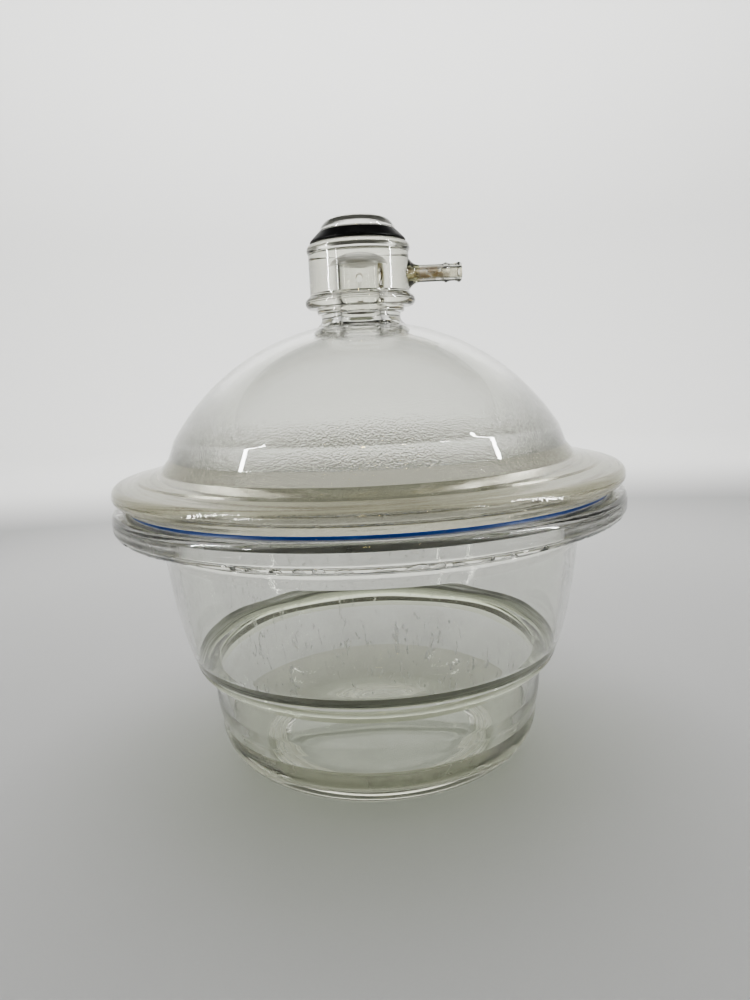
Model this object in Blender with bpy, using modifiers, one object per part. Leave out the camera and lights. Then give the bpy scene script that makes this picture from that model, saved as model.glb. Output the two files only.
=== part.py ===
"""Glass vacuum desiccator with a rotating sleeve valve.

Units are metres and +Z is up. The origin is the centre of the base's resting face.
The base, the lid and the valve are all turned about the Z axis; only the hose arm leaves it.
"""

from math import cos, pi, radians, sin, sqrt

import bpy

# Clearances
SEAT_GAP = 0.0003            # between two pieces that rest on each other
RING_STEPS = 56              # segments round the base, the lid and the flange ring
VALVE_STEPS = 40             # segments round the sleeve and the retaining ring
ARM_STEPS = 16               # segments round the hose arm
MERGE = 0.00001              # merge distance of the turned shapes

# Base
BASE_HEIGHT = 0.1413         # top face of the base flange
BASE_FLANGE_RADIUS = 0.1328
BASE_FLANGE_EDGE = 0.1290    # height of the flange's lower edge
BASE_EDGE_ROUND = 0.0029     # rounding of the flange's upper edge
BASE_UNDER_ROUND = 0.0056    # rounding of the flange's lower edge
MOUTH_RADIUS = 0.1040        # inside of the chamber at the flange
LEDGE_HEIGHT = 0.0600        # the plate ledge
LEDGE_OUTER = 0.0925
LEDGE_INNER = 0.0850
FLOOR_HEIGHT = 0.0095
FOOT_ROUND = 0.0220          # rounding from the wall down to the resting face
FOOT_OUTER = 0.0650          # the resting ring under the floor
FOOT_INNER = 0.0540
FOOT_RECESS = 0.0012

# Flange ring, an O-ring in a groove in the base flange
RING_RADIUS = 0.1210
RING_SECTION = 0.0029
RING_PROUD = 0.0014          # how far the ring stands above the flange
RING_SIDES = 10
GROOVE_WIDTH = 0.0064

# Lid
LID_SEAT = BASE_HEIGHT + RING_PROUD + SEAT_GAP
LID_FLANGE_RADIUS = 0.1320
LID_MOUTH = 0.1045
DOME_RADIUS = 0.1176         # outer sphere of the dome
DOME_CENTRE = 0.1117         # height of that sphere's centre
DOME_WALL = 0.0045
DOME_FOOT = 0.1068           # where the dome leaves the flange

# Valve: the lid's hollow core, and the sleeve that turns on it
ARM_HEIGHT = 0.2522          # the hose arm and the vent hole
CORE_RADIUS = 0.0192
CORE_HOLLOW = 0.0100
CORE_HOLLOW_TOP = 0.2630
HOLLOW_END = 0.0060          # depth of the hollow's rounded end
NECK_RADIUS = 0.0206
NECK_TOP = 0.2333
HEAD_UNDERSIDE = 0.2744
HEAD_TOP = 0.2810
CLIP_GROOVE = 0.0174         # radius of the groove that holds the retaining ring
VENT_RADIUS = 0.0024

SLEEVE_BORE = CORE_RADIUS + SEAT_GAP
SLEEVE_RADIUS = 0.0258
SLEEVE_BOTTOM = NECK_TOP + SEAT_GAP
SLEEVE_TOP = 0.2683
SLEEVE_LIP = 0.0226
BEAD_RADIUS = 0.0285
BEAD_HEIGHT = 0.2392

CLIP_BOTTOM = SLEEVE_TOP + SEAT_GAP
CLIP_TOP = HEAD_UNDERSIDE - SEAT_GAP
CLIP_OUTER = 0.0246
CLIP_UPPER = 0.0202

# Hose arm, turned about its own axis along +X
ARM_TIP = 0.0528
ARM_ROOT = 0.0215            # inside the sleeve's wall
ARM_RADIUS = 0.0043
ARM_BARB = 0.0050
ARM_BORE = 0.0024
FLARE_RADIUS = 0.0089


def clear_scene():
    """Remove the objects of the scene that is open."""
    for obj in list(bpy.data.objects):
        bpy.data.objects.remove(obj, do_unlink=True)


def new_collection(name):
    """A collection of the given name in the scene."""
    collection = bpy.data.collections.new(name)
    bpy.context.scene.collection.children.link(collection)
    return collection


def new_material(name, colour, roughness, transmission):
    """A Principled material with one colour."""
    material = bpy.data.materials.new(name)
    material.use_nodes = True
    shader = material.node_tree.nodes["Principled BSDF"]
    shader.inputs["Base Color"].default_value = (*colour, 1.0)
    shader.inputs["Roughness"].default_value = roughness
    shader.inputs["Metallic"].default_value = 0.0
    shader.inputs["Transmission Weight"].default_value = transmission
    shader.inputs["IOR"].default_value = 1.47 if transmission else 1.5
    return material


def glass_material(name, colour=(0.93, 0.95, 0.92)):
    """Clear pressed borosilicate glass with a faint green tint."""
    return new_material(name, colour, roughness=0.03, transmission=1.0)


def arc(centre, radius, start, end, steps):
    """Points (r, z) on an arc, from the start angle to the end angle in degrees."""
    points = []
    for i in range(steps + 1):
        angle = radians(start + (end - start) * i / steps)
        points.append((centre[0] + radius * cos(angle), centre[1] + radius * sin(angle)))
    return points


def sphere_height(radius, distance, centre):
    """Height of a sphere about the Z axis at a distance from the axis."""
    return centre + sqrt(radius ** 2 - distance ** 2)


def profile_object(name, points, collection, closed):
    """A wire in the XZ plane through the points, ready to be turned."""
    count = len(points)
    edges = [(i, i + 1) for i in range(count - 1)]
    if closed:
        edges.append((count - 1, 0))
    mesh = bpy.data.meshes.new(name)
    mesh.from_pydata([(x, 0.0, z) for x, z in points], edges, [])
    obj = bpy.data.objects.new(name, mesh)
    collection.objects.link(obj)
    return obj


def turned(name, points, steps, collection, material=None, closed=False):
    """A solid turned about Z from a profile that runs down its outer side."""
    obj = profile_object(name, points, collection, closed)
    screw = obj.modifiers.new("Turn", "SCREW")
    screw.axis = "Z"
    screw.steps = steps
    screw.render_steps = steps
    screw.use_merge_vertices = True
    screw.merge_threshold = MERGE
    screw.use_smooth_shade = True
    if material:
        obj.data.materials.append(material)
    return obj


def rod(name, radius, length, steps, centre, collection, heading=0.0):
    """A level cylinder about the centre, at an angle from +X."""
    bpy.ops.mesh.primitive_cylinder_add(
        vertices=steps, radius=radius, depth=length, location=centre, rotation=(0.0, pi / 2, heading)
    )
    obj = bpy.context.active_object
    obj.name = name
    for owner in list(obj.users_collection):
        owner.objects.unlink(obj)
    collection.objects.link(obj)
    return obj


def as_cutter(obj):
    """Mark an object as one that only shapes another."""
    obj.hide_render = True
    obj.display_type = "WIRE"
    return obj


def combine(obj, other, operation):
    """Add a Boolean modifier."""
    boolean = obj.modifiers.new(other.name, "BOOLEAN")
    boolean.operation = operation
    boolean.solver = "EXACT"
    boolean.object = other


def joint_empty(name, height, collection, parent=None):
    """An empty on the Z axis that carries what moves about it."""
    empty = bpy.data.objects.new(name, None)
    empty.empty_display_size = 0.02
    collection.objects.link(empty)
    empty.location = (0.0, 0.0, height)
    if parent:
        carry(empty, parent)
    return empty


def carry(obj, parent):
    """Parent an object and leave it where it is."""
    bpy.context.view_layer.update()
    obj.parent = parent
    obj.matrix_parent_inverse = parent.matrix_world.inverted()


def base_inside():
    """The inside of the base, from the centre of the floor up to the flange."""
    return [
        (0.0, FLOOR_HEIGHT),
        (0.0560, FLOOR_HEIGHT + 0.0004),
        *arc((0.0650, 0.0260), 0.0162, -82.0, -12.0, 4),
        (0.0834, 0.0340),
        (LEDGE_INNER, LEDGE_HEIGHT - 0.0060),
        *arc((LEDGE_INNER + 0.0016, LEDGE_HEIGHT - 0.0016), 0.0016, 180.0, 90.0, 2),
        (LEDGE_OUTER - 0.0020, LEDGE_HEIGHT),
        *arc((LEDGE_OUTER - 0.0004, LEDGE_HEIGHT + 0.0040), 0.0040, -75.0, -20.0, 2),
        (0.0988, 0.0790),
        (0.1012, 0.0960),
        (0.1030, 0.1130),
        (MOUTH_RADIUS, 0.1280),
    ]


def flange_top():
    """The base flange's top face with the ring's groove, from the mouth to the outer edge."""
    inner = RING_RADIUS - GROOVE_WIDTH / 2
    outer = RING_RADIUS + GROOVE_WIDTH / 2
    floor = BASE_HEIGHT + RING_PROUD - 2 * RING_SECTION - SEAT_GAP
    centre = (BASE_FLANGE_RADIUS - BASE_EDGE_ROUND, BASE_HEIGHT - BASE_EDGE_ROUND)
    return [
        *arc((MOUTH_RADIUS + 0.0025, BASE_HEIGHT - 0.0022), 0.0022, 180.0, 90.0, 2),
        (inner, BASE_HEIGHT),
        (inner, floor),
        (outer, floor),
        (outer, BASE_HEIGHT),
        *arc(centre, BASE_EDGE_ROUND, 90.0, 0.0, 3),
    ]


def base_outside():
    """The outside of the base, from the flange's widest ring down to the resting face."""
    edge = (BASE_FLANGE_RADIUS - BASE_UNDER_ROUND, BASE_FLANGE_EDGE + BASE_UNDER_ROUND)
    return [
        *arc(edge, BASE_UNDER_ROUND, -10.0, -85.0, 3),
        *arc((0.1190, 0.1187), 0.0093, 90.0, 172.0, 4),
        (0.1086, 0.1110),
        (0.1068, 0.0960),
        (0.1043, 0.0810),
        (0.1013, 0.0680),
        (0.0991, 0.0615),
        *arc((0.0925, 0.0590), 0.0055, 0.0, -75.0, 4),
        (0.0912, 0.0526),
        (0.0899, 0.0495),
        (0.0889, 0.0360),
        *arc((FOOT_OUTER, FOOT_ROUND), FOOT_ROUND, 5.0, -85.0, 6),
        (FOOT_OUTER - 0.0010, 0.0),
        (FOOT_INNER, 0.0),
        (FOOT_INNER - 0.0030, FOOT_RECESS),
        (0.0, FOOT_RECESS),
    ]


def base_vessel(collection, material):
    """The pressed bowl: desiccant chamber, plate ledge, upper chamber and grooved flange."""
    points = base_inside() + flange_top() + base_outside()
    return turned("base_vessel", points, RING_STEPS, collection, material)


def flange_o_ring(collection, material):
    """The sealing ring that lies in the base flange's groove."""
    centre = (RING_RADIUS, BASE_HEIGHT + RING_PROUD - RING_SECTION)
    points = arc(centre, RING_SECTION, 90.0, -270.0, RING_SIDES)[:-1]
    return turned("flange_o_ring", points, RING_STEPS, collection, material, closed=True)


def valve_core_outside():
    """The core's head, the groove under it and the stem down to the neck's shoulder."""
    return [
        (0.0, HEAD_TOP),
        (0.0065, HEAD_TOP - 0.0001),
        (0.0110, HEAD_TOP - 0.0006),
        (0.0145, HEAD_TOP - 0.0016),
        (0.0172, HEAD_TOP - 0.0034),
        (0.0188, HEAD_TOP - 0.0051),
        (CORE_RADIUS, HEAD_UNDERSIDE + 0.0006),
        (CORE_RADIUS, HEAD_UNDERSIDE),
        (CLIP_GROOVE, HEAD_UNDERSIDE),
        (CLIP_GROOVE, SLEEVE_TOP - 0.0003),
        (CORE_RADIUS, SLEEVE_TOP - 0.0010),
        (CORE_RADIUS, NECK_TOP),
        (NECK_RADIUS, NECK_TOP),
        (NECK_RADIUS - 0.0002, NECK_TOP - 0.0028),
    ]


def dome_outside():
    """The outside of the dome, from the neck's fillet down to the flange."""
    points = [(0.0214, 0.2286)]
    for distance in (0.0250, 0.0370, 0.0490, 0.0610, 0.0730, 0.0840, 0.0930, 0.1000):
        points.append((distance, sphere_height(DOME_RADIUS, distance, DOME_CENTRE)))
    points.append((DOME_FOOT - 0.0006, 0.1612))
    points.append((DOME_FOOT + 0.0014, 0.1588))
    return points


def lid_flange():
    """The lid's flange: a shallow slope, a thick rounded edge and a flat sealing face."""
    return [
        (0.1120, 0.1576),
        (0.1188, 0.1563),
        (0.1200, 0.1554),
        (0.1262, 0.1544),
        *arc((LID_FLANGE_RADIUS - 0.0046, 0.1495), 0.0046, 72.0, -48.0, 5),
        (0.1278, 0.1444),
        (0.1262, LID_SEAT),
        (LID_MOUTH + 0.0014, LID_SEAT),
        (LID_MOUTH, LID_SEAT + 0.0014),
    ]


def lid_inside():
    """The inside of the dome, up to the closed end of the core's hollow."""
    inner = DOME_RADIUS - DOME_WALL
    points = [(LID_MOUTH, 0.1530)]
    for distance in (0.1032, 0.0975, 0.0895, 0.0795, 0.0680, 0.0560, 0.0440, 0.0320, 0.0220):
        points.append((distance, sphere_height(inner, distance, DOME_CENTRE)))
    points.append((0.0145, 0.2242))
    points.append((0.0112, 0.2260))
    points.append((CORE_HOLLOW, 0.2295))
    for step in range(4):
        angle = radians(90.0 * step / 4)
        rise = HOLLOW_END * (sin(angle) - 1.0)
        points.append((CORE_HOLLOW * cos(angle), CORE_HOLLOW_TOP + rise))
    points.append((0.0, CORE_HOLLOW_TOP))
    return points


def lid_dome(collection, cutters, material):
    """The lid with its neck and its hollow valve core, one piece of glass.

    The vent is a quarter turn from the hose arm, so the valve is closed as it stands.
    """
    points = valve_core_outside() + dome_outside() + lid_flange() + lid_inside()
    obj = turned("lid_dome", points, RING_STEPS, collection, material)
    reach = CORE_RADIUS + 0.003 - CORE_HOLLOW / 2
    centre = (0.0, CORE_HOLLOW / 2 + reach / 2, ARM_HEIGHT)
    vent = as_cutter(rod("vent_hole", VENT_RADIUS, reach, ARM_STEPS, centre, cutters, pi / 2))
    combine(obj, vent, "DIFFERENCE")
    return obj


def sleeve_profile():
    """The sleeve's section, down the outside from its top edge and back up the bore."""
    return [
        (SLEEVE_BORE + 0.0006, SLEEVE_TOP),
        (SLEEVE_RADIUS - 0.0014, SLEEVE_TOP),
        *arc((SLEEVE_RADIUS - 0.0023, 0.2653), 0.0030, 65.0, -40.0, 3),
        (SLEEVE_RADIUS, 0.2618),
        (SLEEVE_RADIUS, 0.2436),
        (SLEEVE_RADIUS + 0.0003, 0.2426),
        *arc((BEAD_RADIUS - 0.0030, BEAD_HEIGHT), 0.0030, 70.0, -80.0, 5),
        (SLEEVE_LIP + 0.0003, 0.2361),
        (SLEEVE_LIP, 0.2355),
        (SLEEVE_LIP, SLEEVE_BOTTOM + 0.0005),
        (SLEEVE_LIP - 0.0005, SLEEVE_BOTTOM),
        (SLEEVE_BORE, SLEEVE_BOTTOM),
        (SLEEVE_BORE, SLEEVE_TOP - 0.0006),
    ]


def hose_arm_form(cutters):
    """The flared hose arm, turned about Z and laid over along +X."""
    barb_far = ARM_TIP - 0.0016
    barb_near = ARM_TIP - 0.0082
    along = [
        (0.0, ARM_TIP),
        (ARM_RADIUS, ARM_TIP),
        (ARM_BARB, barb_far + 0.0006),
        (ARM_BARB, barb_far - 0.0006),
        (ARM_RADIUS, barb_far - 0.0022),
        (ARM_RADIUS, barb_near + 0.0020),
        (ARM_BARB, barb_near + 0.0006),
        (ARM_BARB, barb_near - 0.0006),
        (ARM_RADIUS, barb_near - 0.0024),
        (ARM_RADIUS, 0.0308),
        (0.0049, 0.0289),
        (0.0060, 0.0273),
        (0.0076, 0.0259),
        (FLARE_RADIUS, 0.0243),
        (FLARE_RADIUS, ARM_ROOT),
        (0.0, ARM_ROOT),
    ]
    form = turned("hose_arm_form", along, ARM_STEPS, cutters)
    form.rotation_euler = (0.0, pi / 2, 0.0)
    form.location = (0.0, 0.0, ARM_HEIGHT)
    return as_cutter(form)


def valve_sleeve(collection, cutters, material):
    """The thick sleeve that turns on the core, with its hose arm fused on."""
    obj = turned("valve_sleeve", sleeve_profile(), VALVE_STEPS, collection, material, closed=True)
    combine(obj, hose_arm_form(cutters), "UNION")
    start = SLEEVE_BORE - 0.003
    length = ARM_TIP + 0.003 - start
    centre = (start + length / 2, 0.0, ARM_HEIGHT)
    bore = as_cutter(rod("arm_bore", ARM_BORE, length, ARM_STEPS, centre, cutters))
    combine(obj, bore, "DIFFERENCE")
    return obj


def retaining_ring(collection, material):
    """The conical rubber ring that holds the sleeve down, in the groove under the head."""
    inner = CLIP_GROOVE + SEAT_GAP
    points = [
        (inner, CLIP_TOP),
        (CLIP_UPPER - 0.0004, CLIP_TOP),
        (CLIP_UPPER + 0.0002, CLIP_TOP - 0.0007),
        (CLIP_OUTER, CLIP_BOTTOM + 0.0010),
        (CLIP_OUTER - 0.0002, CLIP_BOTTOM),
        (inner, CLIP_BOTTOM),
    ]
    return turned("retaining_ring", points, VALVE_STEPS, collection, material, closed=True)


def main():
    clear_scene()
    desiccator = new_collection("glass_desiccator")
    cutters = new_collection("cutters")
    base_glass = glass_material("base_glass")
    lid_glass = glass_material("lid_glass", (0.92, 0.93, 0.89))
    sleeve_glass = glass_material("sleeve_glass", (0.93, 0.94, 0.90))
    blue_rubber = new_material("blue_rubber", (0.03, 0.09, 0.32), 0.45, 0.0)
    black_rubber = new_material("black_rubber", (0.012, 0.012, 0.013), 0.5, 0.0)

    base_vessel(desiccator, base_glass)
    flange_o_ring(desiccator, blue_rubber)

    lid_lift = joint_empty("lid_lift", LID_SEAT, desiccator)
    sleeve_turn = joint_empty("sleeve_turn", SLEEVE_BOTTOM, desiccator, lid_lift)
    carry(lid_dome(desiccator, cutters, lid_glass), lid_lift)
    carry(retaining_ring(desiccator, black_rubber), lid_lift)
    carry(valve_sleeve(desiccator, cutters, sleeve_glass), sleeve_turn)
    bpy.context.view_layer.update()


main()
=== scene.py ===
"""Looks of the glass desiccator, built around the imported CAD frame."""

import math
import random

import bmesh
import bpy
from mathutils import Matrix, Vector


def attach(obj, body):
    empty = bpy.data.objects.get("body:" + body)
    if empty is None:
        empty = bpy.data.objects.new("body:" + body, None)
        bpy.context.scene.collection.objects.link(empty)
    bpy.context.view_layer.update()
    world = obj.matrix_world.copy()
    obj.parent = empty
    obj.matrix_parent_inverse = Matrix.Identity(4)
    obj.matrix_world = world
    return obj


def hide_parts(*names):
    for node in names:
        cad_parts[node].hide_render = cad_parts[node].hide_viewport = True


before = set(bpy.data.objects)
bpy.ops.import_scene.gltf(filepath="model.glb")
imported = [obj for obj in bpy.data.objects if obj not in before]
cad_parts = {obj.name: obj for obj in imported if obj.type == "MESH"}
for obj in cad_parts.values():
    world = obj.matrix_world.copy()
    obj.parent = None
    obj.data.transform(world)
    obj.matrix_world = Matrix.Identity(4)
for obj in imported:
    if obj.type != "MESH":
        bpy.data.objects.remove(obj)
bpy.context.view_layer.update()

MM = 0.001
GLASS_IOR = 1.47

# Segments round each turned piece
VESSEL_STEPS = 280
SEAL_STEPS = 256
LID_STEPS = 280
VALVE_STEPS = 192
ARM_STEPS = 64
BORE_STEPS = 32
RETAINING_STEPS = 160
COVE_STEPS = 96

# Base vessel. All sizes are in millimetres: R is measured from the axis, Z from the bench.
FLOOR_Z = 9.5                # inside, on the axis
LEDGE_Z = 60                 # plate ledge
BASE_TOP = 141.3             # top face of the flange
GROOVE_INNER = 117.8         # groove of the sealing ring
GROOVE_OUTER = 124.2
GROOVE_FLOOR = 136.6
UNDER_EDGE_R = 127.2         # centre of the rounding of the flange's lower edge
UNDER_EDGE_Z = 134.6
UNDER_EDGE_ROUND = 5.6
FOOT_R = 65                  # outside of the resting ring, where the rounding of the wall ends
FOOT_ROUND = 22
FOOT_INNER = 54
FOOT_RECESS = 1.2
GLASS_CORNER = 0.5           # rounding of the corners of the glass

# Chips broken from the lower edge of the base's flange
CHIPS = 46                   # in each of two rounds, the second set between those of the first
CHIP_CREASE = 38             # degrees: edges that turn more than this stay sharp

# Sealing ring
SEAL_R = 121
SEAL_Z = 139.8
SEAL_ROUND = 2.9

# Lid, with the hollow core of the valve
LID_TOP = 281
LID_FACE = 143               # ground sealing face
LID_FACE_OUTER = 126.2
LID_FACE_INNER = 105.9
DOME_CENTRE = 111.7          # height of the centre of both spheres of the dome
DOME_OUTSIDE = 117.6
DOME_INSIDE = 113.1
CORE_R = 19.2                # ground core, under the sleeve
CORE_FOOT = 233.3
CORE_TOP = 267.3
RING_SEAT_R = 17.4           # groove of the retaining ring
RING_SEAT_FOOT = 268
RING_SEAT_TOP = 274.4
HOLLOW_R = 10
HOLLOW_END = 257             # where the rounded end of the hollow starts

# Sleeve and hose arm. Lengths along the arm are measured from the axis.
SLEEVE_INSIDE = 19.5
SLEEVE_OUTSIDE = 25.8
SLEEVE_FOOT = 233.6
SLEEVE_TOP = 268.3
ARM_Z = 252.2
ARM_R = 4.3
ARM_ROOT = 21.5              # inside the wall of the sleeve
ARM_END = 52.8
BORE_R = 2.4

# Retaining ring
RETAINING_INSIDE = 17.7
RETAINING_FOOT = 268.6
RETAINING_TOP = 274.1

# Studio
COVE_FLOOR = 1900            # radius of the flat floor
COVE_CURVE = 700
COVE_TOP = 2300
COVE_DROP = 0.0004           # metres by which the paper lies under the vessel


# ---------------------------------------------------------------- profiles, in millimetres


def arc(centre_r, centre_z, radius, start, end, steps=10):
    """Points on an arc of a profile, with both angles in degrees from the +r direction."""
    points = []
    for i in range(steps + 1):
        angle = math.radians(start + (end - start) * i / steps)
        points.append((centre_r + radius * math.cos(angle), centre_z + radius * math.sin(angle)))
    return points


def through(points, steps=6):
    """A smooth line through all the points (Catmull-Rom)."""
    ends = [points[0], *points, points[-1]]
    line = []
    for a, b, c, d in zip(ends, ends[1:], ends[2:], ends[3:]):
        for i in range(steps):
            t = i / steps
            line.append(
                tuple(
                    0.5
                    * (
                        2 * b[k]
                        + (c[k] - a[k]) * t
                        + (2 * a[k] - 5 * b[k] + 4 * c[k] - d[k]) * t * t
                        + (3 * b[k] - a[k] - 3 * c[k] + d[k]) * t * t * t
                    )
                    for k in range(2)
                )
            )
    return [*line, points[-1]]


def sphere_line(centre_z, radius, r_start, r_end, steps):
    """Points on a sphere about the axis, even in angle, between two distances from the axis."""
    start = math.degrees(math.acos(r_start / radius))
    end = math.degrees(math.acos(r_end / radius))
    return arc(0, centre_z, radius, start, end, steps)


def soften(points, radius, turn=14.0, steps=4):
    """Rounds each corner of a profile that turns by more than so many degrees.

    Each point is (r, z, material).
    """
    out = [points[0]]
    for before, here, after in zip(points, points[1:], points[2:]):
        a = Vector((before[0] - here[0], before[1] - here[1]))
        b = Vector((after[0] - here[0], after[1] - here[1]))
        if a.length < 1e-6 or b.length < 1e-6:
            continue
        bend = 180 - math.degrees(a.angle(b))
        if bend < turn:
            out.append(here)
            continue
        cut = min(radius * math.tan(math.radians(bend / 2)), 0.45 * a.length, 0.45 * b.length)
        tip = Vector(here[:2])
        first = tip + a.normalized() * cut
        last = tip + b.normalized() * cut
        for i in range(steps + 1):
            t = i / steps
            spot = first * (1 - t) ** 2 + tip * 2 * t * (1 - t) + last * t * t
            out.append((spot.x, spot.y, before[2] if i < steps / 2 else here[2]))
    return [*out, points[-1]]


def section(*parts):
    """Joins (material, points) parts into one profile.

    The material of a point is that of the line that leaves it.
    """
    joined = []
    for material, points in parts:
        for r, z in points:
            if joined and math.dist(joined[-1][:2], (r, z)) < 1e-4:
                joined[-1] = (r, z, material)
            else:
                joined.append((r, z, material))
    return joined


# ---------------------------------------------------------------- meshes


def finish_mesh(bm, name, materials):
    """Puts a bmesh into the scene as an object."""
    mesh = bpy.data.meshes.new(name)
    bm.to_mesh(mesh)
    bm.free()
    for material in materials:
        mesh.materials.append(material)
    made = bpy.data.objects.new(name, mesh)
    bpy.context.scene.collection.objects.link(made)
    return made


def lathe(name, profile, steps, materials, closed=False):
    """Turns a profile about Z."""
    bm = bmesh.new()
    rings = []
    for r, z, _ in profile:
        if r < 1e-5:
            rings.append([bm.verts.new((0, 0, z * MM))])
            continue
        ring = []
        for i in range(steps):
            angle = 2 * math.pi * i / steps
            ring.append(bm.verts.new((r * math.cos(angle) * MM, r * math.sin(angle) * MM, z * MM)))
        rings.append(ring)
    pairs = list(zip(rings, rings[1:], [p[2] for p in profile]))
    if closed:
        pairs.append((rings[-1], rings[0], profile[-1][2]))
    for low, high, material in pairs:
        for i in range(steps):
            j = (i + 1) % steps
            if len(low) == 1:
                face = bm.faces.new((low[0], high[j], high[i]))
            elif len(high) == 1:
                face = bm.faces.new((low[i], low[j], high[0]))
            else:
                face = bm.faces.new((low[i], low[j], high[j], high[i]))
            face.material_index = material
            face.smooth = True
    bmesh.ops.recalc_face_normals(bm, faces=bm.faces)
    if bm.calc_volume(signed=True) < 0:
        bmesh.ops.reverse_faces(bm, faces=bm.faces)
    return finish_mesh(bm, name, materials)


def combine(target, other, operation, solver="EXACT"):
    """Joins or cuts with a Boolean, applies it and removes the other solid."""
    step = target.modifiers.new("combine", "BOOLEAN")
    step.operation = operation
    step.solver = solver
    step.object = other
    bpy.context.view_layer.update()
    solid = bpy.data.meshes.new_from_object(target.evaluated_get(bpy.context.evaluated_depsgraph_get()))
    target.modifiers.remove(step)
    target.data = solid
    bpy.data.objects.remove(other)


def even_shading(piece):
    """Shades smoothly, with large faces ruling, so flats stay flat next to their rounded corners."""
    for face in piece.data.polygons:
        face.use_smooth = True
    step = piece.modifiers.new("even_shading", "WEIGHTED_NORMAL")
    step.mode = "FACE_AREA_WITH_ANGLE"
    step.weight = 60
    step.keep_sharp = True


# ---------------------------------------------------------------- materials


class Nodes:
    """A material's node tree, with short calls to add and join nodes."""

    def __init__(self, name):
        self.material = bpy.data.materials.new(name)
        self.material.use_nodes = True
        self.tree = self.material.node_tree
        self.tree.nodes.clear()
        self.output = self.tree.nodes.new("ShaderNodeOutputMaterial")

    def add(self, kind, **inputs):
        made = self.tree.nodes.new(kind)
        for key, value in inputs.items():
            self.set(made.inputs[key.replace("_", " ")], value)
        return made

    def set(self, socket, value):
        if isinstance(value, bpy.types.NodeSocket):
            self.tree.links.new(value, socket)
        else:
            socket.default_value = value

    def finish(self, surface):
        self.set(self.output.inputs["Surface"], surface.outputs[0])
        return self.material

    def maths(self, operation, a, b=0.0):
        made = self.tree.nodes.new("ShaderNodeMath")
        made.operation = operation
        self.set(made.inputs[0], a)
        self.set(made.inputs[1], b)
        return made.outputs[0]

    def times(self, a, b):
        return self.maths("MULTIPLY", a, b)

    def place(self):
        return self.tree.nodes.new("ShaderNodeTexCoord").outputs["Object"]

    def stretched(self, scale):
        made = self.tree.nodes.new("ShaderNodeMapping")
        made.inputs["Scale"].default_value = scale
        self.tree.links.new(self.place(), made.inputs["Vector"])
        return made.outputs[0]

    def noise(self, vector, scale, detail=3.0, roughness=0.5, twist=0.0):
        made = self.add(
            "ShaderNodeTexNoise",
            Vector=vector,
            Scale=scale,
            Detail=detail,
            Roughness=roughness,
            Distortion=twist,
        )
        return made.outputs["Fac"]

    def ramp(self, value, low, high, out_low=0.0, out_high=1.0):
        made = self.tree.nodes.new("ShaderNodeMapRange")
        made.interpolation_type = "SMOOTHSTEP"
        for socket, v in zip(made.inputs, (value, low, high, out_low, out_high)):
            self.set(socket, v)
        return made.outputs[0]

    def mix(self, factor, a, b):
        made = self.tree.nodes.new("ShaderNodeMix")
        made.data_type = "RGBA"
        self.set(made.inputs[0], factor)
        self.set(made.inputs[6], a)
        self.set(made.inputs[7], b)
        return made.outputs[2]

    def axes(self):
        made = self.add("ShaderNodeSeparateXYZ", Vector=self.place())
        return made.outputs[0], made.outputs[1], made.outputs[2]

    def radius(self):
        x, y, _ = self.axes()
        return self.maths("SQRT", self.maths("ADD", self.times(x, x), self.times(y, y)))

    def rings(self, scale, sweep=6.0):
        """Noise drawn out round the axis into concentric lines that come and go."""
        x, y, _ = self.axes()
        made = self.add("ShaderNodeCombineXYZ")
        self.set(made.inputs[0], self.times(self.radius(), scale))
        self.set(made.inputs[1], self.times(x, sweep))
        self.set(made.inputs[2], self.times(y, sweep))
        return self.noise(made.outputs[0], 1.0, 4.0, 0.6)

    def bump(self, height, distance, normal=None):
        made = self.add("ShaderNodeBump", Height=height, Distance=distance, Strength=1.0)
        if normal is not None:
            self.set(made.inputs["Normal"], normal)
        return made.outputs[0]


def glass(n, colour, roughness, clear=1.0, ior=GLASS_IOR, shade=(0.88, 0.89, 0.86, 1), **more):
    """Glass that scatters what it doesn't let through. Lamp light passes it, dimmed to the shade."""
    shader = n.add(
        "ShaderNodeBsdfPrincipled",
        Base_Color=colour,
        Roughness=roughness,
        IOR=ior,
        Transmission_Weight=clear,
        **more,
    )
    path = n.tree.nodes.new("ShaderNodeLightPath")
    window = n.add("ShaderNodeBsdfTransparent", Color=shade)
    both = n.tree.nodes.new("ShaderNodeMixShader")
    n.set(both.inputs[0], n.maths("MAXIMUM", path.outputs["Is Shadow Ray"], path.outputs["Is Diffuse Ray"]))
    n.set(both.inputs[1], shader.outputs[0])
    n.set(both.inputs[2], window.outputs[0])
    return n.finish(both)


def clear_glass(name, tint=(0.91, 0.917, 0.89, 1), waves=0.00004, smudge=0.03):
    """Pressed glass: slow waves from the mould, faint smudges."""
    n = Nodes(name)
    smears = n.ramp(n.noise(n.place(), 38.0, 5.0, 0.62), 0.5, 0.78, 0.0, smudge)
    return glass(n, tint, smears, Normal=n.bump(n.noise(n.place(), 26.0, 2.0), waves))


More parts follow.
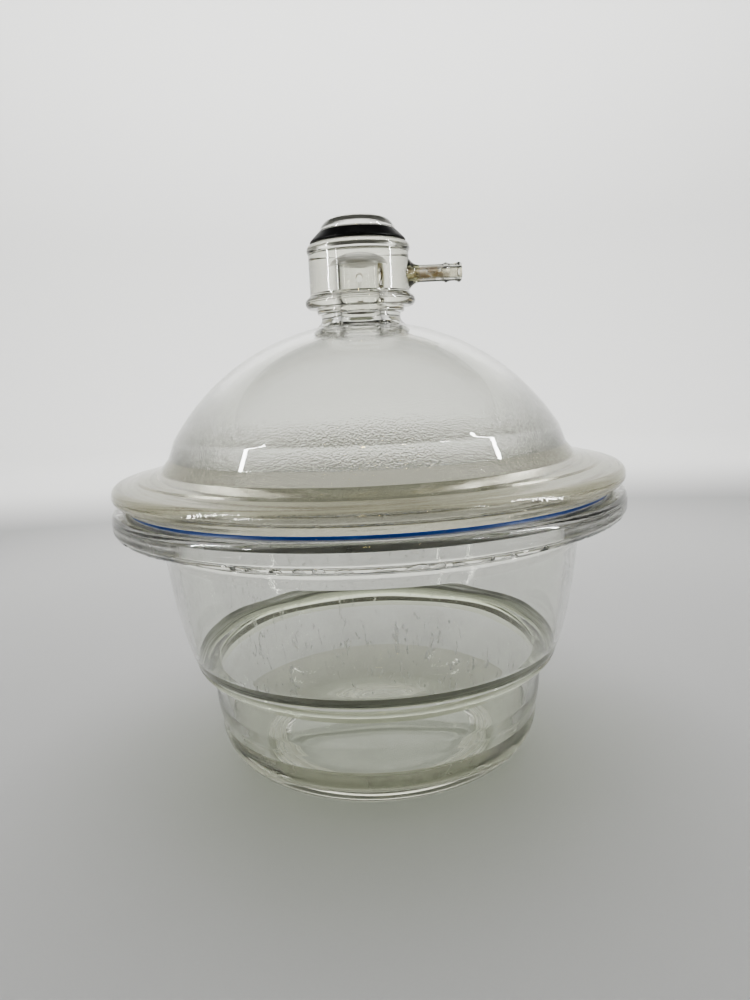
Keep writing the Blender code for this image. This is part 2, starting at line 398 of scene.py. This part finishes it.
def chamber_glass(name):
    """The inside of the vessel: dried drips above the ledge, and a thin film that scatters some light."""
    n = Nodes(name)
    place = n.place()
    _, _, z = n.axes()
    drips = n.noise(n.stretched((520.0, 520.0, 110.0)), 1.0, 3.0, 0.6, 0.9)
    band = n.times(n.ramp(z, 0.056, 0.064), n.ramp(z, 0.085, 0.118, 1.0, 0.15))
    where = n.times(n.ramp(n.noise(place, 16.0, 2.0), 0.42, 0.56), band)
    streak = n.times(n.ramp(drips, 0.60, 0.65), where)
    film = n.ramp(n.noise(place, 22.0, 6.0, 0.65), 0.35, 0.75, 0.0, 0.1)
    haze = n.maths("ADD", film, n.times(streak, 0.4))
    waves = n.bump(n.noise(place, 24.0, 2.0), 0.00005)
    return glass(
        n,
        (0.92, 0.928, 0.90, 1),
        n.maths("ADD", n.times(streak, 0.25), 0.012),
        clear=n.maths("SUBTRACT", 1.0, haze),
        Normal=n.bump(streak, 0.00003, waves),
    )


def ground_glass(name, clear=0.5, tint=(0.60, 0.585, 0.47, 1), stain=(0.20, 0.165, 0.10, 1)):
    """A ground face with circular grinding lines and old grease: part of the light scatters in it. Where it
    gets dark tint and stain colours, as in the groove and the ledge corner, it carries painted shade
    instead of grease.
    """
    n = Nodes(name)
    lines = n.rings(900.0)
    dark = n.ramp(n.rings(420.0, 9.0), 0.5, 0.62, 0.0, 0.85)
    roughness = n.ramp(lines, 0.35, 0.65, 0.2, 0.4)
    return glass(n, n.mix(dark, tint, stain), roughness, clear, Normal=n.bump(lines, 0.00006))


def flange_glass(name, tint=(0.84, 0.84, 0.81, 1), peel=0.00002, clear=1.0):
    """Outside of a flange: circular tool marks of the mould and a light orange peel."""
    n = Nodes(name)
    marks = n.rings(520.0, 3.0)
    skin = n.noise(n.place(), 700.0, 2.0)
    roughness = n.ramp(marks, 0.45, 0.7, 0.015, 0.09)
    return glass(n, tint, roughness, clear, Normal=n.bump(skin, peel, n.bump(marks, 0.00009)))


def dome_glass(name):
    """Inside of the dome: clear above, with an orange-peel skin near the foot where the glass chilled."""
    n = Nodes(name)
    place = n.place()
    _, _, z = n.axes()
    low = n.ramp(z, 0.172, 0.200, 1.0, 0.05)
    peel = n.times(n.noise(place, 1200.0, 2.0, 0.5), low)
    smears = n.ramp(n.noise(place, 30.0, 5.0, 0.6), 0.45, 0.8, 0.0, 0.04)
    waves = n.bump(n.noise(place, 20.0, 2.0), 0.00006)
    return glass(n, (0.89, 0.892, 0.865, 1), smears, Normal=n.bump(peel, 0.00023, waves))


def joint_glass(name):
    """Ground and greased joint face: the grease has nearly the glass's index, so the joint looks clear."""
    n = Nodes(name)
    return glass(
        n,
        (0.985, 0.985, 0.97, 1),
        n.ramp(n.noise(n.place(), 90.0, 3.0), 0.5, 0.8, 0.0, 0.02),
        ior=1.0,
        shade=(0.99, 0.99, 0.98, 1),
        Specular_IOR_Level=0.0,
    )


def stained_bore(name):
    """Bore of the hose arm or of the vent, with a yellow-brown residue in patches."""
    n = Nodes(name)
    x, _, _ = n.axes()
    patches = n.ramp(n.noise(n.stretched((1.0, 1.6, 1.6)), 210.0, 4.0, 0.6), 0.40, 0.56)
    inner = n.ramp(x, 0.040, 0.049, 1.0, 0.12)
    stain = n.times(patches, inner)
    return glass(
        n,
        n.mix(stain, (0.90, 0.88, 0.78, 1), (0.20, 0.12, 0.035, 1)),
        n.ramp(stain, 0.0, 1.0, 0.06, 0.35),
        clear=n.ramp(stain, 0.0, 1.0, 0.97, 0.55),
        shade=(0.8, 0.7, 0.5, 1),
        Normal=n.bump(patches, 0.0001),
    )


def rubber(name, colour, worn, roughness):
    """Moulded rubber with a fine skin, dust and rubbed patches."""
    n = Nodes(name)
    place = n.place()
    rub = n.ramp(n.noise(place, 160.0, 5.0, 0.65), 0.5, 0.75)
    dust = n.ramp(n.noise(place, 900.0, 2.0), 0.66, 0.74, 0.0, 0.35)
    waves = n.bump(n.noise(place, 300.0, 2.0), 0.00004)
    shader = n.add(
        "ShaderNodeBsdfPrincipled",
        Base_Color=n.mix(dust, n.mix(rub, colour, worn), (0.35, 0.34, 0.32, 1)),
        Roughness=n.ramp(rub, 0.0, 1.0, roughness, roughness + 0.18),
        Specular_IOR_Level=0.4,
        Normal=n.bump(n.noise(place, 1500.0, 3.0), 0.00003, waves),
    )
    return n.finish(shader)


# ---------------------------------------------------------------- base vessel

CLEAR, INSIDE, FLANGE, GROUND, THICK, FOOT, GROOVE, CORNER = range(8)

base_inside = [
    *[(r, FLOOR_Z + 0.4 * (r / 56) ** 2) for r in (0, 14, 28, 42, 52)],
    *arc(65, 26, 16.2, -82, -12, 16),
    *through([(83.4, 34), (84.2, 44), (85, 54)], 4),
]
ledge = [*arc(86.6, LEDGE_Z - 1.6, 1.6, 180, 90, 6), (88.6, LEDGE_Z), (90.5, LEDGE_Z), (91.4, LEDGE_Z)]
corner = [(91.4, LEDGE_Z), *arc(92.1, LEDGE_Z + 4, 4, -75, -20, 8)]
chamber = through([(96.0, 64.6), (98.8, 79), (101.2, 96), (103, 113), (104, 128), (104.3, 134)], 7)
flange_top = [*arc(106.5, BASE_TOP - 2.2, 2.2, 180, 90, 8), (112, BASE_TOP), (GROOVE_INNER, BASE_TOP)]
groove = [
    (GROOVE_INNER, BASE_TOP),
    (GROOVE_INNER, GROOVE_FLOOR),
    (GROOVE_OUTER, GROOVE_FLOOR),
    (GROOVE_OUTER, BASE_TOP),
]
flange_rim = [
    (GROOVE_OUTER, BASE_TOP),
    (127, BASE_TOP),
    *arc(129.9, BASE_TOP - 2.9, 2.9, 90, 0, 10),
    *arc(UNDER_EDGE_R, UNDER_EDGE_Z, UNDER_EDGE_ROUND, -10, -85, 16),
]
under_flange = [
    (126.8, 128.9),
    (125.8, 128.7),
    (124.6, 128.4),
    (123.4, 128.3),
    (121.8, 128.1),
    (120.4, 128.0),
    *arc(119, 118.7, 9.3, 90, 172, 14),
]
wall_outside = through([(109.2, 117), (108.6, 111), (106.8, 96), (104.3, 81), (101.3, 68), (99.1, 61.5)], 7)
step_outside = [*arc(92.5, 59, 5.5, 0, -75, 12), *through([(91.2, 52.6), (89.9, 49.5)], 3)]
lower_outside = through([(89.9, 49.5), (89.3, 43), (88.9, 36), (88.2, 30)], 4)
foot_outside = arc(FOOT_R, FOOT_ROUND, FOOT_ROUND, 5, -85, 20)
foot = [(64, 0), (FOOT_INNER, 0)]
recess = [(FOOT_INNER, 0), (51, FOOT_RECESS), (30, FOOT_RECESS), (0, FOOT_RECESS)]

vessel = lathe(
    "vessel_glass",
    soften(
        section(
            (INSIDE, base_inside),
            (THICK, ledge),
            (CORNER, corner),
            (INSIDE, chamber),
            (FLANGE, flange_top),
            (GROOVE, groove),
            (FLANGE, flange_rim),
            (FLANGE, under_flange),
            (CLEAR, wall_outside),
            (THICK, step_outside),
            (CLEAR, lower_outside),
            (FOOT, foot_outside),
            (GROUND, foot),
            (CLEAR, recess),
        ),
        GLASS_CORNER,
    ),
    VESSEL_STEPS,
    [
        clear_glass("vessel_outside"),
        chamber_glass("vessel_inside"),
        flange_glass("vessel_flange"),
        ground_glass("vessel_foot", 0.75, (0.90, 0.885, 0.80, 1), (0.66, 0.64, 0.53, 1)),
        clear_glass("vessel_thick", (0.70, 0.74, 0.58, 1)),
        clear_glass("vessel_foot_side", (0.80, 0.80, 0.69, 1)),
        # painted shade: the groove's dark tint and stain colours paint the dark band seen in the groove
        # through the rim
        ground_glass("vessel_groove_painted_shade", 0.6, (0.36, 0.36, 0.32, 1), (0.16, 0.15, 0.12, 1)),
        # painted shade: near-black tint and stain colours darken the inside corner of the ledge
        ground_glass("vessel_corner_painted_shade", 0.3, (0.30, 0.31, 0.25, 1), (0.06, 0.06, 0.05, 1)),
    ],
)


def chip_cutter(name, start, materials):
    """Rough lumps set round the lower edge of the base's flange, which bite chips out of it."""
    bm = bmesh.new()
    for i in range(CHIPS):
        heading = start + 2 * math.pi * (i + random.uniform(-0.17, 0.17)) / CHIPS
        width = random.uniform(2.4, 5.4)
        depth = random.uniform(1.5, 3.2)
        slope = math.radians(random.uniform(-80, -46))
        reach = UNDER_EDGE_ROUND + 0.3 * depth
        r = UNDER_EDGE_R + reach * math.cos(slope)
        z = UNDER_EDGE_Z + reach * math.sin(slope)
        lump = bmesh.ops.create_uvsphere(bm, u_segments=20, v_segments=14, radius=MM)["verts"]
        for v in lump:
            v.co *= random.uniform(0.93, 1.07)
        tilt = Matrix.Rotation(random.uniform(-0.5, 0.5), 4, "X")
        shape = tilt @ Matrix.Diagonal((depth, width, depth, 1))
        move = Matrix.Rotation(heading, 4, "Z") @ Matrix.Translation(Vector((r, 0, z)) * MM) @ shape
        bmesh.ops.transform(bm, matrix=move, verts=lump)
    for face in bm.faces:
        face.material_index = FLANGE
    return finish_mesh(bm, name, materials)


random.seed(11)
for start in (0.0, math.pi / CHIPS):
    cutter = chip_cutter("chip_cutter", start, list(vessel.data.materials))
    combine(vessel, cutter, "DIFFERENCE", "MANIFOLD")
vessel.data.set_sharp_from_angle(angle=math.radians(CHIP_CREASE))

# ---------------------------------------------------------------- sealing ring

seal = lathe(
    "seal_ring",
    section((0, arc(SEAL_R, SEAL_Z, SEAL_ROUND, 0, 360, 28)[:-1])),
    SEAL_STEPS,
    [rubber("seal_rubber", (0.012, 0.075, 0.36, 1), (0.03, 0.12, 0.42, 1), 0.34)],
    closed=True,
)

# ---------------------------------------------------------------- lid

LID_CLEAR, LID_INSIDE, LID_FLANGE, LID_GROUND, LID_JOINT, LID_BORE, LID_COLLAR, LID_FOOT = range(8)

head = through(
    [
        (0, LID_TOP),
        (8.5, 280.95),
        (12.8, 280.6),
        (15.8, 279.6),
        (17.7, 277.9),
        (18.8, 276.1),
        (CORE_R, 274.9),
    ]
)
ring_seat = [
    (CORE_R, RING_SEAT_TOP),
    (RING_SEAT_R, RING_SEAT_TOP),
    (RING_SEAT_R, RING_SEAT_FOOT),
    (CORE_R, CORE_TOP),
]
core = [(CORE_R, CORE_TOP), (CORE_R, 250), (CORE_R, CORE_FOOT)]
shoulder = [(CORE_R, CORE_FOOT), (20.6, CORE_FOOT), (20.4, 230.5), (21.4, 228.6), (23.0, 227.2)]
dome_out = sphere_line(DOME_CENTRE, DOME_OUTSIDE, 25.0, 100.0, 72)
flange_out = [
    (103.4, 164.6),
    (106.2, 161.2),
    (108.2, 158.8),
    (112, 157.6),
    (118.8, 156.3),
    (120, 155.4),
    (126.2, 154.4),
]
flange_edge = [*arc(127.4, 149.5, 4.6, 72, -48, 16), (127.8, 144.4), (LID_FACE_OUTER, LID_FACE)]
seal_face = [(LID_FACE_OUTER, LID_FACE), (118, LID_FACE), (LID_FACE_INNER, LID_FACE)]
inner_foot = [(LID_FACE_INNER, LID_FACE), (104.5, 144.4), (104.5, 149), (104.5, 153)]
dome_in = [(103.9, 156.8), *sphere_line(DOME_CENTRE, DOME_INSIDE, 103.2, 22.0, 72)]
throat = [
    *through([(18.2, 223.4), (14.5, 224.2), (11.2, 226), (HOLLOW_R, 229.5)], 4),
    (HOLLOW_R, 243),
    (HOLLOW_R, HOLLOW_END),
]
quarter = [math.radians(degrees) for degrees in range(0, 91, 9)]
hollow_end = [(HOLLOW_R * math.cos(a), HOLLOW_END + 6 * math.sin(a)) for a in quarter]

lid = lathe(
    "lid_glass",
    soften(
        section(
            (LID_CLEAR, head),
            (LID_COLLAR, ring_seat),
            (LID_JOINT, core),
            (LID_CLEAR, shoulder),
            (LID_CLEAR, dome_out),
            (LID_FLANGE, flange_out),
            (LID_FLANGE, flange_edge),
            (LID_GROUND, seal_face),
            (LID_FOOT, inner_foot),
            (LID_INSIDE, dome_in),
            (LID_INSIDE, throat),
            (LID_COLLAR, hollow_end),
        ),
        GLASS_CORNER,
    ),
    LID_STEPS,
    [
        clear_glass("lid_outside"),
        dome_glass("lid_inside"),
        flange_glass("lid_flange", (0.66, 0.642, 0.525, 1), 0.0001, 0.88),
        ground_glass("lid_sealing_face"),
        joint_glass("lid_joint"),
        stained_bore("lid_vent"),
        ground_glass("lid_collar", 0.35, (0.86, 0.84, 0.82, 1), (0.6, 0.58, 0.55, 1)),
        # painted shade: a dark tint on the inside of the lid's foot paints the dark band at the foot of the
        # dome
        clear_glass("lid_inner_foot_painted_shade", (0.42, 0.42, 0.39, 1)),
    ],
)

# ---------------------------------------------------------------- valve sleeve

SLEEVE_CLEAR, SLEEVE_JOINT, SLEEVE_BORE, SLEEVE_FLARE = range(4)


def along_x(piece, height):
    """Lays a solid turned about Z along +X at a height, in millimetres."""
    lift = Matrix.Translation((0, 0, height * MM))
    piece.data.transform(lift @ Matrix.Rotation(math.radians(90), 4, "Y"))
    return piece


def bore(name, start, end, material, materials):
    """A round cutter along +X, at the height of the hose arm."""
    line = section((material, [(0, start), (BORE_R, start), (BORE_R, end), (0, end)]))
    return along_x(lathe(name, line, BORE_STEPS, materials), ARM_Z)


sleeve_materials = [
    clear_glass("sleeve_outside", (0.86, 0.86, 0.80, 1), 0.00005),
    joint_glass("sleeve_joint"),
    stained_bore("sleeve_bore"),
    clear_glass("sleeve_flare", (0.58, 0.58, 0.38, 1)),
]
sleeve_rim = [(SLEEVE_INSIDE, SLEEVE_TOP), (20.1, SLEEVE_TOP), (23.0, SLEEVE_TOP)]
sleeve_rim += arc(23.5, SLEEVE_TOP - 3.0, 3.0, 78, -40, 14)
sleeve_side = [
    (SLEEVE_OUTSIDE, 262.6),
    (SLEEVE_OUTSIDE, 261.8),
    (SLEEVE_OUTSIDE, 252),
    (SLEEVE_OUTSIDE, 243.6),
    (26.1, 242.6),
]
sleeve_bead = arc(25.5, 239.2, 3.0, 70, -80, 16)
sleeve_foot = [(22.9, 236.1), (22.6, 235.5), (22.6, 234.1), (22.1, SLEEVE_FOOT)]

sleeve = lathe(
    "sleeve_glass",
    soften(
        section(
            (SLEEVE_JOINT, [(SLEEVE_INSIDE, SLEEVE_FOOT), (SLEEVE_INSIDE, SLEEVE_TOP)]),
            (SLEEVE_CLEAR, [*sleeve_rim, *sleeve_side, *sleeve_bead, *sleeve_foot]),
        ),
        GLASS_CORNER,
    ),
    VALVE_STEPS,
    sleeve_materials,
    closed=True,
)

flare = through([(9.6, 22.6), (8.9, 24.3), (7.6, 25.9), (6.0, 27.3), (4.9, 28.9), (ARM_R, 31.0)], 5)
arm_line = [
    (ARM_R, 31.0),
    (ARM_R, 35),
    (ARM_R, 42.6),
    (4.5, 43.6),
    *arc(4.2, 44.7, 0.85, -25, 40, 4),
    (4.35, 46.6),
    (ARM_R, 48.8),
    (4.5, 50.2),
    *arc(4.1, 51.5, 0.95, -25, 40, 4),
    (4.2, ARM_END),
]
arm = lathe(
    "hose_arm",
    soften(
        section(
            (SLEEVE_CLEAR, [(0, ARM_ROOT), (9.6, ARM_ROOT)]),
            (SLEEVE_FLARE, flare),
            (SLEEVE_CLEAR, [*arm_line, (0, ARM_END)]),
        ),
        0.3,
    ),
    ARM_STEPS,
    sleeve_materials,
)
combine(sleeve, along_x(arm, ARM_Z), "UNION")
combine(sleeve, bore("sleeve_bore_cutter", 15, 56, SLEEVE_BORE, sleeve_materials), "DIFFERENCE")

# The vent points to +Y, a quarter turn from the hose arm
vent = bore("vent_cutter", 8, 22, LID_BORE, list(lid.data.materials))
vent.data.transform(Matrix.Rotation(math.radians(90), 4, "Z"))
combine(lid, vent, "DIFFERENCE")

# ---------------------------------------------------------------- retaining ring

retaining_line = [
    (RETAINING_INSIDE, RETAINING_FOOT),
    (24.2, RETAINING_FOOT),
    (24.6, 269.2),
    (24.2, 269.9),
    (20.5, 273.6),
    (19.9, RETAINING_TOP),
    (RETAINING_INSIDE, RETAINING_TOP),
]
retaining = lathe(
    "retaining_rubber",
    soften(section((0, retaining_line)), 0.4, 12.0),
    RETAINING_STEPS,
    [rubber("ring_rubber", (0.012, 0.012, 0.012, 1), (0.03, 0.03, 0.028, 1), 0.38)],
    closed=True,
)

for piece, node, body, slot in (
    (vessel, "base_vessel", "base", "base_glass"),
    (seal, "flange_o_ring", "base", "blue_rubber"),
    (lid, "lid_dome", "lid", "lid_glass"),
    (retaining, "retaining_ring", "lid", "black_rubber"),
    (sleeve, "valve_sleeve", "sleeve", "sleeve_glass"),
):
    even_shading(piece)
    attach(piece, body)
    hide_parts(node)

# ---------------------------------------------------------------- studio


def paper(name, pale, grey):
    """Studio paper with painted light: a painted pool of light keeps it light grey underfoot, painted light
    makes it pale at the back (+Y), and painted shade makes it dark round the sides.

    The painted shade at the sides draws the edges of the glass.
    """
    n = Nodes(name)
    _, y, _ = n.axes()
    away = n.ramp(n.radius(), 0.45, 1.3)
    back = n.ramp(y, 0.35, 1.1)
    # painted pool of light underfoot and painted light at the back; the rest of the paper is painted shade
    near = n.times(n.maths("SUBTRACT", 1.0, away), 0.70)
    painted_light_tone = n.maths("MAXIMUM", near, back)
    fibre = n.ramp(n.noise(n.place(), 900.0, 2.0), 0.3, 0.7, 0.985, 1.0)
    shader = n.add(
        "ShaderNodeBsdfPrincipled",
        Base_Color=n.mix(n.times(painted_light_tone, fibre), grey, pale),
        Roughness=0.7,
        Specular_IOR_Level=0.2,
    )
    return n.finish(shader)


cove_line = [
    (0, 0),
    (600, 0),
    (1200, 0),
    (COVE_FLOOR, 0),
    *arc(COVE_FLOOR, COVE_CURVE, COVE_CURVE, -90, 0, 20),
    (COVE_FLOOR + COVE_CURVE, 1500),
    (COVE_FLOOR + COVE_CURVE, COVE_TOP),
]
# The paper's pale and grey colours are the lit and shaded ends of its painted light.
cove = lathe(
    "studio_cove",
    section((0, cove_line)),
    COVE_STEPS,
    [paper("studio_paper", (0.66, 0.66, 0.648, 1), (0.16, 0.16, 0.162, 1))],
)
cove.location.z = -COVE_DROP


def softbox(name, place, aim, width, height, power, colour=(1, 1, 1), mirrored=False):
    """A rectangular soft light.

    Glass and gloss show its shape only if it is mirrored, and then it doesn't light the paper.
    """
    light = bpy.data.lights.new(name, "AREA")
    light.shape = "RECTANGLE"
    light.size = width
    light.size_y = height
    light.energy = power
    light.color = colour
    made = bpy.data.objects.new(name, light)
    made.location = place
    made.rotation_mode = "QUATERNION"
    made.rotation_quaternion = (Vector(aim) - Vector(place)).to_track_quat("-Z", "Y")
    made.visible_camera = False
    made.visible_glossy = mirrored
    made.visible_transmission = mirrored
    made.visible_diffuse = not mirrored
    bpy.context.scene.collection.objects.link(made)


softbox("overhead", (0.0, 0.1, 2.2), (0, 0, 0.1), 2.0, 2.0, 36)
softbox("wall_back", (0.0, 0.9, 1.9), (0, 2.6, 0.9), 2.2, 0.6, 58)
softbox("strip_left", (-1.15, -0.35, 0.65), (0, 0, 0.25), 0.05, 1.1, 12, mirrored=True)
softbox("strip_left_front", (-0.88, -0.76, 0.42), (0, 0, 0.25), 0.035, 0.4, 1.2, mirrored=True)
softbox("strip_right", (1.15, -0.28, 0.65), (0, 0, 0.25), 0.05, 1.1, 12, mirrored=True)
softbox("lamp_warm", (-0.05, -1.28, 1.22), (0, -0.1, 0.15), 0.05, 0.16, 1.0, (1.0, 0.8, 0.32), True)
softbox("lamp_low", (0.5, -1.15, 1.25), (0, -0.1, 0.15), 0.05, 0.10, 0.6, (1.0, 0.86, 0.5), True)
softbox("lamp_white", (0.98, -0.85, 1.2), (0, -0.1, 0.15), 0.12, 0.16, 1.6, mirrored=True)

scene = bpy.context.scene
world = bpy.data.worlds.new("studio")
world.use_nodes = True
background = world.node_tree.nodes["Background"]
background.inputs["Color"].default_value = (0.9, 0.93, 1.0, 1)
background.inputs["Strength"].default_value = 0.06
scene.world = world
scene.view_settings.look = "AgX - High Contrast"
scene.cycles.max_bounces = 24
scene.cycles.transmission_bounces = 22
scene.cycles.transparent_max_bounces = 24
scene.cycles.glossy_bounces = 8
scene.cycles.diffuse_bounces = 4

# ---------------------------------------------------------------- camera

camera = bpy.data.objects.new("camera", bpy.data.cameras.new("camera"))
camera.data.lens = 27.18
camera.data.sensor_width = 36
camera.data.clip_start = 0.01
camera.data.clip_end = 20
pitch = math.radians(9.73)
yaw = math.radians(0.2)
roll = math.radians(-2.65)
forward = Vector((math.sin(yaw) * math.cos(pitch), math.cos(yaw) * math.cos(pitch), -math.sin(pitch)))
level = Vector((math.cos(yaw), -math.sin(yaw), 0))
upright = level.cross(forward)
right = math.cos(roll) * level + math.sin(roll) * upright
up = math.cos(roll) * upright - math.sin(roll) * level
turned = Matrix((right, up, -forward)).transposed().to_4x4()
camera.matrix_world = Matrix.Translation((0.0014, -0.404, 0.204)) @ turned
scene.collection.objects.link(camera)
scene.camera = camera
